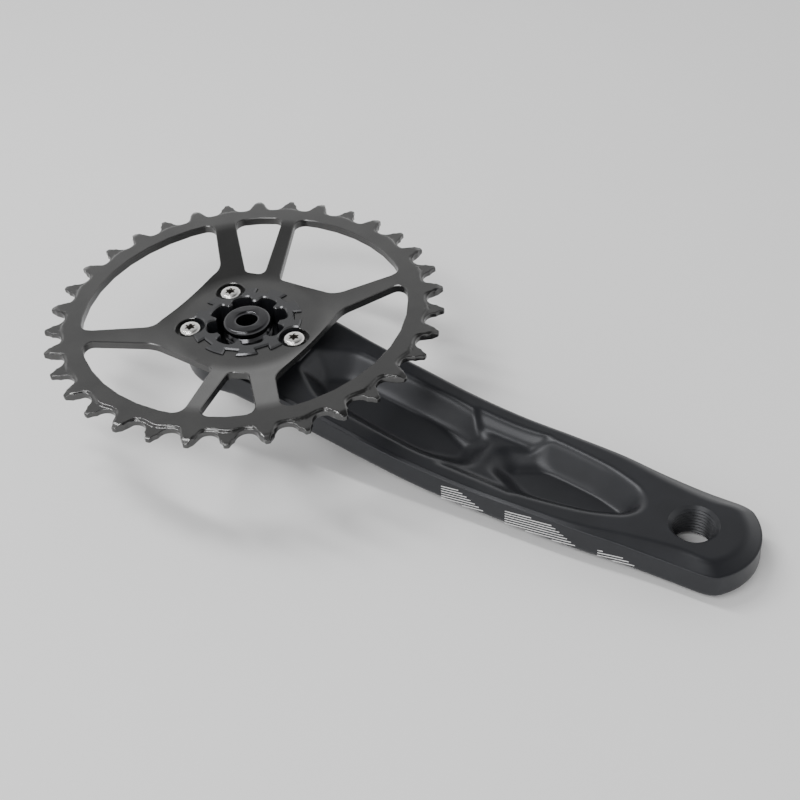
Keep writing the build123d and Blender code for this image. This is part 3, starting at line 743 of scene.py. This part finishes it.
def toothed_plate():
    """Dished plate with its teeth and a plain round bore."""
    outline, normals = tooth_outline()
    bore = outline / np.linalg.norm(outline, axis=1)[:, None] * (SPIGOT_RADIUS + SPLINE_GAP)
    edge = outline - normals * RING_ROUNDING
    inner = bore / np.linalg.norm(bore, axis=1)[:, None] * (PITCH_RADIUS - LAYER_SPLIT)
    layers = [bore + (inner - bore) * share for share in np.linspace(0, 1, HUB_LAYERS)]
    layers += [inner + (edge - inner) * share for share in np.linspace(0, 1, RIM_LAYERS)[1:]]

    def face(points, side):
        """Points of the plate's face, inboard for side 1 and outboard for -1."""
        radius = np.hypot(points[:, 0], points[:, 1])
        middle = dish_top(radius) - PLATE / 2
        thickness = half_thickness(points[:, 0], points[:, 1])
        return np.column_stack((points, middle + side * thickness))

    top = [face(points, 1) for points in layers]
    bottom = [face(points, -1) for points in layers]
    rim_top, rim_bottom = [], []
    for turn in (30, 60, 90):
        swell = RING_ROUNDING * math.sin(math.radians(turn))
        drop = RING_ROUNDING * (1 - math.cos(math.radians(turn)))
        rim = edge + normals * swell
        rim_top.append(np.column_stack((rim, top[-1][:, 2] - drop)))
        rim_bottom.append(np.column_stack((rim, bottom[-1][:, 2] + drop)))
    loops = np.stack(top + rim_top + rim_bottom[::-1] + bottom[::-1])
    rows, columns = loops.shape[:2]
    faces = grid_faces(rows, columns, True)
    faces += [
        ((rows - 1) * columns + column, (rows - 1) * columns + (column + 1) % columns,
         (column + 1) % columns, column)
        for column in range(columns)
    ]
    return object_from("narrow_wide_ring", loops.reshape(-1, 3), faces)


def rounded_outline(corners):
    """Closed outline through (x, y, rounding) corners, with an arc at each rounded one."""
    points = []
    for index, (x, y, rounding) in enumerate(corners):
        here = np.array((x, y))
        if not rounding:
            points.append(here)
            continue
        before = np.array(corners[index - 1][:2]) - here
        after = np.array(corners[(index + 1) % len(corners)][:2]) - here
        before /= np.linalg.norm(before)
        after /= np.linalg.norm(after)
        half_angle = math.acos(float(np.clip(before @ after, -1, 1))) / 2
        middle = (before + after) / np.linalg.norm(before + after)
        centre = here + middle * rounding / math.sin(half_angle)
        start = here + before * rounding / math.tan(half_angle) - centre
        end = here + after * rounding / math.tan(half_angle) - centre
        first = math.atan2(start[1], start[0])
        sweep = (math.atan2(end[1], end[0]) - first + math.pi) % (2 * math.pi) - math.pi
        for share in np.linspace(0, 1, 12):
            turn = first + sweep * share
            points.append(centre + rounding * np.array((math.cos(turn), math.sin(turn))))
    return np.array(points)


def outward(outline):
    """Unit normals of a closed plan outline, pointing away from its middle."""
    along = np.roll(outline, -1, axis=0) - np.roll(outline, 1, axis=0)
    normals = np.column_stack((along[:, 1], -along[:, 0]))
    normals /= np.linalg.norm(normals, axis=1)[:, None]
    facing = (normals * (outline - outline.mean(axis=0))).sum()
    return normals if facing > 0 else -normals


def window_cutter(inner_a, inner_b, angle_a, angle_b, turn):
    """Opening between two spokes, with a small bevel along both faces."""
    outer = PITCH_RADIUS - WINDOW_DROP
    steps = max(2, round(abs(angle_b - angle_a) / 9))
    corners = [(*polar(inner_a[0], inner_a[1] + turn), inner_a[2])]
    corners.append((*polar(outer, angle_a + turn), WINDOW_ROUNDING))
    for share in np.linspace(0, 1, steps + 1)[1:-1]:
        corners.append((*polar(outer, angle_a + turn + (angle_b - angle_a) * share), 0))
    corners.append((*polar(outer, angle_b + turn), WINDOW_ROUNDING))
    corners.append((*polar(inner_b[0], inner_b[1] + turn), inner_b[2]))
    outline = rounded_outline(corners)
    normals = outward(outline)
    top = dish_top(np.hypot(outline[:, 0], outline[:, 1]))
    wide = outline + normals * (0.5 + RING_ROUNDING)
    levels = [
        (wide, np.full(len(top), SHOULDER_HEIGHT - 3)),
        (wide, top - PLATE - 0.5),
        (outline, top - PLATE + RING_ROUNDING),
        (outline, top - RING_ROUNDING),
        (wide, top + 0.5),
        (wide, np.full(len(top), CHAIN_PLANE + PLATE)),
    ]
    return stack("window", [np.column_stack(level) for level in levels])


def spline_tooth(angle):
    """Tooth that reaches from the ring's bore into the spigot."""
    turn = math.radians(angle)
    loops = []
    for height, shrink in [(SHOULDER_HEIGHT, 0.0), (SHOULDER_HEIGHT + PLATE - 0.2, 0.0),
                           (SHOULDER_HEIGHT + PLATE, 0.2)]:
        half = SPLINE_HALF_WIDTH - shrink
        corners = [(SPLINE_TIP + shrink, -half), (SPIGOT_RADIUS + 0.8, -half),
                   (SPIGOT_RADIUS + 0.8, half), (SPLINE_TIP + shrink, half)]
        loops.append([
            (x * math.cos(turn) - y * math.sin(turn), x * math.sin(turn) + y * math.cos(turn), height)
            for x, y in corners
        ])
    return stack("spline_tooth", loops)


def make_chainring():
    """Narrow-wide ring with its windows, spline teeth and bolt recesses."""
    ring = toothed_plate()
    teeth = [spline_tooth(angle) for angle in SPLINE_ANGLES]
    cutters = [window_cutter(*window, turn) for window in WINDOWS for turn in (0, 180)]
    for angle in RING_BOLT_ANGLES:
        centre = polar(RING_BOLT_CIRCLE, angle)
        hub_face = SHOULDER_HEIGHT + PLATE
        cutters.append(turned("bolt_recess", [
            (RING_BOLT_HOLE + 0.05, SHOULDER_HEIGHT - 1), (RING_BOLT_HOLE + 0.05, RECESS_FLOOR),
            (RECESS_RADIUS, RECESS_FLOOR), (RECESS_RADIUS, hub_face - 0.2),
            (RECESS_RADIUS + 1.2, hub_face + 1),
        ], 72, centre))
    combine_all(ring, teeth, "UNION")
    combine_all(ring, cutters, "DIFFERENCE")
    finish_shading(ring, 34)
    return ring


def make_ring_bolt(angle):
    """Button-head bolt with a six-lobe socket."""
    centre = polar(RING_BOLT_CIRCLE, angle)
    foot, head = RECESS_FLOOR, RING_BOLT_HEAD
    profile = [
        (RING_BOLT_RADIUS - 0.6, foot - RING_BOLT_DEPTH),
        (RING_BOLT_RADIUS, foot - RING_BOLT_DEPTH + 0.6),
        (RING_BOLT_RADIUS, foot), (head, foot), (head, foot + 0.7),
    ]
    for turn in np.radians(np.linspace(15, 75, 6)):
        profile.append((head - 1.5 + 1.5 * math.cos(turn), foot + 0.7 + 1.55 * math.sin(turn)))
    profile.append((head - 1.9, foot + HEAD_HEIGHT))
    bolt = turned("ring_bolt", profile, 64, centre)
    turns = np.linspace(0, 2 * math.pi, STAR_POINTS, endpoint=False)
    lobes = STAR_RADIUS + STAR_LOBE * np.cos(6 * turns)
    loops = [round_loop(lobes + grow, foot + height, STAR_POINTS, centre)
             for height, grow in [(0.4, -0.15), (HEAD_HEIGHT - 0.08, 0.0), (HEAD_HEIGHT + 0.1, 0.18)]]
    combine(bolt, stack("star_socket", loops), "DIFFERENCE")
    finish_shading(bolt, 30)
    middle = Vector((*centre, 0.0)) * MM
    # Faces in the socket take the darker second material, which is painted shade.
    for face in bolt.data.polygons:
        away = (face.center - middle).xy.length / MM
        in_socket = away < STAR_REACH and face.center.z / MM < foot + HEAD_HEIGHT - 0.05
        face.material_index = 1 if in_socket else 0
    return bolt


# ---------------------------------------------------------------- node helpers
def new_material(name):
    """A material with its Principled shader, node list and link list."""
    material = bpy.data.materials.new(name)
    material.use_nodes = True
    tree = material.node_tree
    return material, tree.nodes, tree.links, tree.nodes["Principled BSDF"]


def noise(nodes, links, scale, detail=4.0, roughness=0.6):
    """Noise in object space, with its scale in features per metre."""
    where = nodes.new("ShaderNodeTexCoord")
    texture = nodes.new("ShaderNodeTexNoise")
    texture.inputs["Scale"].default_value = scale
    texture.inputs["Detail"].default_value = detail
    texture.inputs["Roughness"].default_value = roughness
    links.new(where.outputs["Object"], texture.inputs["Vector"])
    return texture.outputs["Fac"]


def ramp(nodes, links, value, stops):
    """Colour ramp with (position, colour) stops."""
    node = nodes.new("ShaderNodeValToRGB")
    elements = node.color_ramp.elements
    while len(elements) < len(stops):
        elements.new(0.5)
    for element, (position, colour) in zip(elements, stops):
        element.position = position
        element.color = colour
    links.new(value, node.inputs["Fac"])
    return node.outputs["Color"]


def remap(nodes, links, value, low, high):
    """Value from 0..1 mapped onto low..high."""
    node = nodes.new("ShaderNodeMapRange")
    node.inputs["To Min"].default_value = low
    node.inputs["To Max"].default_value = high
    links.new(value, node.inputs["Value"])
    return node.outputs["Result"]


def bump(nodes, links, height, strength, distance):
    """Normal from a height, with its distance in metres."""
    node = nodes.new("ShaderNodeBump")
    node.inputs["Strength"].default_value = strength
    node.inputs["Distance"].default_value = distance
    links.new(height, node.inputs["Height"])
    return node.outputs["Normal"]


def grey(level):
    """Opaque grey as a colour."""
    return (level, level, level, 1.0)


# ---------------------------------------------------------------- materials
def forged_alloy():
    """Bead-blasted, black anodised forging, with a brighter turned face above MACHINED_FROM."""
    material, nodes, links, shader = new_material("black_anodised_forging")
    broad = noise(nodes, links, 60.0, 3.0)
    grain = noise(nodes, links, 4500.0, 2.0)
    blasted = ramp(
        nodes, links, broad,
        [(0.3, (0.017, 0.018, 0.021, 1)), (0.7, (0.023, 0.024, 0.028, 1))],
    )
    where = nodes.new("ShaderNodeTexCoord")
    split = nodes.new("ShaderNodeSeparateXYZ")
    links.new(where.outputs["Object"], split.inputs["Vector"])
    machined = nodes.new("ShaderNodeMapRange")
    machined.inputs["From Min"].default_value = MACHINED_FROM * MM
    machined.inputs["From Max"].default_value = MACHINED_TO * MM
    links.new(split.outputs["Z"], machined.inputs["Value"])
    colour = nodes.new("ShaderNodeMixRGB")
    colour.inputs["Color2"].default_value = (0.088, 0.089, 0.092, 1)
    links.new(machined.outputs["Result"], colour.inputs["Fac"])
    links.new(blasted, colour.inputs["Color1"])
    links.new(colour.outputs["Color"], shader.inputs["Base Color"])
    turned_face = nodes.new("ShaderNodeMix")
    turned_face.inputs["B"].default_value = 0.24
    links.new(machined.outputs["Result"], turned_face.inputs["Factor"])
    links.new(remap(nodes, links, broad, 0.33, 0.38), turned_face.inputs["A"])
    links.new(turned_face.outputs["Result"], shader.inputs["Roughness"])
    links.new(remap(nodes, links, machined.outputs["Result"], 0.35, 0.9), shader.inputs["Metallic"])
    links.new(bump(nodes, links, grain, 0.12, 0.00002), shader.inputs["Normal"])
    return material


def coated_steel():
    """Stamped steel with a semi-gloss black coating."""
    material, nodes, links, shader = new_material("black_coated_steel")
    broad = noise(nodes, links, 90.0, 4.0)
    grain = noise(nodes, links, 3000.0, 3.0)
    links.new(
        ramp(nodes, links, broad, [(0.3, (0.086, 0.086, 0.086, 1)), (0.7, (0.100, 0.100, 0.099, 1))]),
        shader.inputs["Base Color"],
    )
    links.new(remap(nodes, links, grain, 0.21, 0.26), shader.inputs["Roughness"])
    links.new(bump(nodes, links, grain, 0.08, 0.00002), shader.inputs["Normal"])
    shader.inputs["Metallic"].default_value = 0.9
    return material


def bright_steel():
    """Turned stainless steel."""
    material, nodes, links, shader = new_material("bright_stainless")
    grain = noise(nodes, links, 900.0, 2.0)
    links.new(
        ramp(nodes, links, grain, [(0.2, (0.74, 0.73, 0.71, 1)), (0.8, (0.80, 0.79, 0.77, 1))]),
        shader.inputs["Base Color"],
    )
    links.new(remap(nodes, links, grain, 0.24, 0.29), shader.inputs["Roughness"])
    shader.inputs["Metallic"].default_value = 1.0
    return material


def socket_shadow():
    """Darker steel in the bottom of a driver socket: painted shade where the socket lies in shadow."""
    material, nodes, links, shader = new_material("socket_painted_shade")
    grain = noise(nodes, links, 1200.0, 2.0)
    links.new(
        ramp(nodes, links, grain, [(0.2, (0.10, 0.092, 0.082, 1)), (0.8, (0.17, 0.155, 0.14, 1))]),
        shader.inputs["Base Color"],
    )
    links.new(remap(nodes, links, grain, 0.45, 0.6), shader.inputs["Roughness"])
    shader.inputs["Metallic"].default_value = 0.8
    return material


def etched_white():
    """Laser-etched white marking, a little uneven."""
    material, nodes, links, shader = new_material("etched_white")
    wear = noise(nodes, links, 1500.0, 4.0)
    links.new(ramp(nodes, links, wear, [(0.25, grey(0.30)), (0.5, grey(0.72))]), shader.inputs["Base Color"])
    links.new(remap(nodes, links, wear, 0.5, 0.65), shader.inputs["Roughness"])
    return material


def black_bolt_steel():
    """Glossy black oxide on turned steel."""
    material, nodes, links, shader = new_material("black_oxide_steel")
    grain = noise(nodes, links, 500.0, 2.0)
    links.new(
        ramp(nodes, links, grain, [(0.2, (0.055, 0.055, 0.058, 1)), (0.8, (0.065, 0.065, 0.068, 1))]),
        shader.inputs["Base Color"],
    )
    links.new(remap(nodes, links, grain, 0.17, 0.21), shader.inputs["Roughness"])
    shader.inputs["Metallic"].default_value = 0.95
    return material


def plain_washer_steel():
    """Plain steel of the washer under the bolt's flange."""
    material, nodes, links, shader = new_material("plain_steel")
    grain = noise(nodes, links, 1500.0, 3.0)
    links.new(ramp(nodes, links, grain, [(0.2, grey(0.42)), (0.8, grey(0.55))]), shader.inputs["Base Color"])
    links.new(remap(nodes, links, grain, 0.30, 0.42), shader.inputs["Roughness"])
    shader.inputs["Metallic"].default_value = 1.0
    return material


def nylon():
    """Undyed nylon of the washer behind the cap."""
    material, nodes, links, shader = new_material("natural_nylon")
    cloud = noise(nodes, links, 400.0, 3.0)
    links.new(
        ramp(nodes, links, cloud, [(0.2, (0.62, 0.61, 0.56, 1)), (0.8, (0.7, 0.69, 0.65, 1))]),
        shader.inputs["Base Color"],
    )
    links.new(remap(nodes, links, cloud, 0.45, 0.6), shader.inputs["Roughness"])
    return material


def floor_finish():
    """Pale matt studio floor."""
    material, nodes, links, shader = new_material("pale_floor")
    cloud = noise(nodes, links, 6.0, 2.0)
    links.new(ramp(nodes, links, cloud, [(0.3, grey(0.93)), (0.7, grey(0.95))]), shader.inputs["Base Color"])
    shader.inputs["Roughness"].default_value = 0.9
    return material


def dress(node, material):
    """Gives a CAD node its material."""
    thing = frame["nodes"][node]
    thing.data.materials.clear()
    thing.data.materials.append(material)
    return thing


def show(thing, finishes, body, slot, *nodes):
    """Puts a finished piece in place of CAD nodes, if it stands for any."""
    marks = [min(face.material_index, len(finishes) - 1) for face in thing.data.polygons]
    thing.data.materials.clear()
    for material in finishes:
        thing.data.materials.append(material)
    thing.data.polygons.foreach_set("material_index", marks)
    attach(thing, body)
    if nodes:
        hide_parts(*nodes)


# ---------------------------------------------------------------- stage
def make_camera():
    """Camera at the viewing angle, from its axes in the row frame."""
    axes = (Vector(CAMERA_RIGHT), Vector(CAMERA_UP), Vector(CAMERA_BACK))
    data = bpy.data.cameras.new("camera")
    data.lens = CAMERA_LENS
    data.sensor_width = CAMERA_SENSOR
    data.clip_start = 0.01
    data.clip_end = 10.0
    camera = bpy.data.objects.new("camera", data)
    bpy.context.scene.collection.objects.link(camera)
    turn = Matrix(axes).transposed().to_4x4()
    camera.matrix_world = Matrix.Translation(Vector(CAMERA_PLACE)) @ turn
    bpy.context.scene.camera = camera


def strip_light(name, place, aim, size, watts):
    """Soft rectangular light with its long side along X."""
    data = bpy.data.lights.new(name, "AREA")
    data.shape = "RECTANGLE"
    data.size, data.size_y = size
    data.energy = watts
    light = bpy.data.objects.new(name, data)
    bpy.context.scene.collection.objects.link(light)
    back = (Vector(place) - Vector(aim)).normalized()
    side = Vector((0.0, 1.0, 0.0)).cross(back).normalized()
    turn = Matrix((side, back.cross(side), back)).transposed().to_4x4()
    light.matrix_world = Matrix.Translation(Vector(place)) @ turn


def make_floor():
    """Pale floor just under the object."""
    mesh = bpy.data.meshes.new("floor")
    half = FLOOR_HALF
    height = cad_low.z - FLOOR_GAP
    corners = [(-half, -half, height), (half, -half, height), (half, half, height), (-half, half, height)]
    mesh.from_pydata(corners, [], [(0, 1, 2, 3)])
    floor = bpy.data.objects.new("floor", mesh)
    floor.data.materials.append(floor_finish())
    bpy.context.scene.collection.objects.link(floor)


def make_studio():
    """Sky that darkens overhead, with strips of light for the highlights."""
    world = bpy.data.worlds.new("studio")
    world.use_nodes = True
    nodes, links = world.node_tree.nodes, world.node_tree.links
    where = nodes.new("ShaderNodeTexCoord")
    split = nodes.new("ShaderNodeSeparateXYZ")
    links.new(where.outputs["Generated"], split.inputs["Vector"])
    sky = ramp(nodes, links, split.outputs["Z"], [(height, grey(level)) for height, level in SKY_STOPS])
    links.new(sky, nodes["Background"].inputs["Color"])
    nodes["Background"].inputs["Strength"].default_value = SKY_STRENGTH
    bpy.context.scene.world = world
    for strip in STRIP_LIGHTS:
        strip_light(*strip)


make_camera()
make_floor()
make_studio()

alloy = forged_alloy()
steel = coated_steel()
stainless = bright_steel()
bolt_black = black_bolt_steel()
arm = make_arm()
show(arm, [alloy], "crank", "arm_alloy", "crank_arm")
show(make_side_stripes(), [etched_white()], "crank", "arm_alloy")
ring = make_chainring()
show(ring, [steel], "crank", "ring_steel", "chainring")
# Darker steel for the ring bolts' sockets, painted shade.
star_painted_shade = socket_shadow()
for number, angle in enumerate(RING_BOLT_ANGLES, start=1):
    ring_bolt = make_ring_bolt(angle)
    show(ring_bolt, [stainless, star_painted_shade], "crank", "ring_bolt_steel", f"chainring_bolt_{number}")
bolt = make_crank_bolt()
show(bolt, [bolt_black], "bolt", "crank_bolt_steel", "crank_bolt")
dress("thrust_washer", plain_washer_steel())
dress("cap_washer", nylon())
dress("extractor_cap", alloy)
